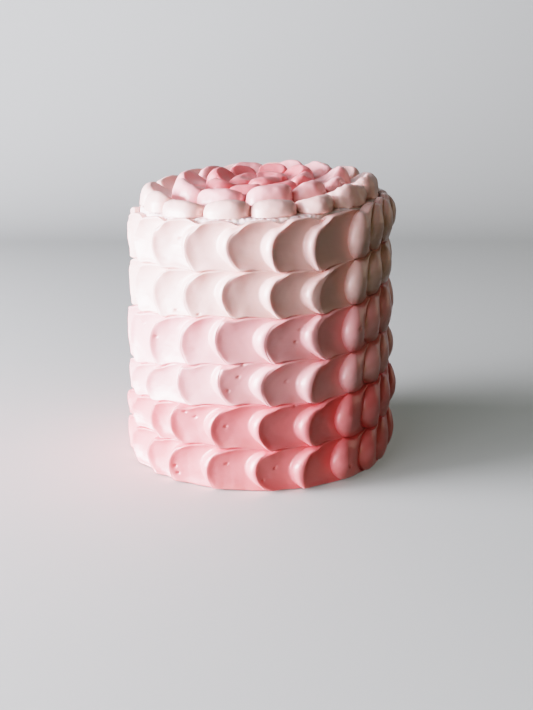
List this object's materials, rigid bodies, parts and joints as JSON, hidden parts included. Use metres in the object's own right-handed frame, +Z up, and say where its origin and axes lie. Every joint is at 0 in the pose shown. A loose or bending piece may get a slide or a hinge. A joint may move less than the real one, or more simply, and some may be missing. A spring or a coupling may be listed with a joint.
{
  "type": "smash cake",
  "caption": "Small tall round cake covered in rows and rings of smeared buttercream petals that fade from deep pink at the base to near white at the rim.",
  "frame": {"origin": "centre of the cake's box at the surface that it stands on", "axes": "+Z up the cake, -Y towards the side shown in the picture, +X to the right in the picture"},
  "size_m": [0.12, 0.1194, 0.1253],
  "materials": {
    "icing_pale": "satin buttercream, near white with a touch of pink",
    "icing_blush": "satin buttercream, light pink",
    "icing_rose": "satin buttercream, deep pink",
    "base_coat": "thin rough base coat of off-white buttercream"
  },
  "bodies": {
    "root": {"side_row_1": "icing_pale", "side_row_2": "icing_pale", "side_row_3": "icing_blush", "side_row_4": "icing_blush", "side_row_5": "icing_rose", "side_row_6": "icing_rose", "top_ring_outer": "icing_pale", "top_ring_second": "icing_blush", "top_ring_third": "icing_rose", "top_centre": "icing_rose", "cake_core": "base_coat"}
  },
  "joints": []
}
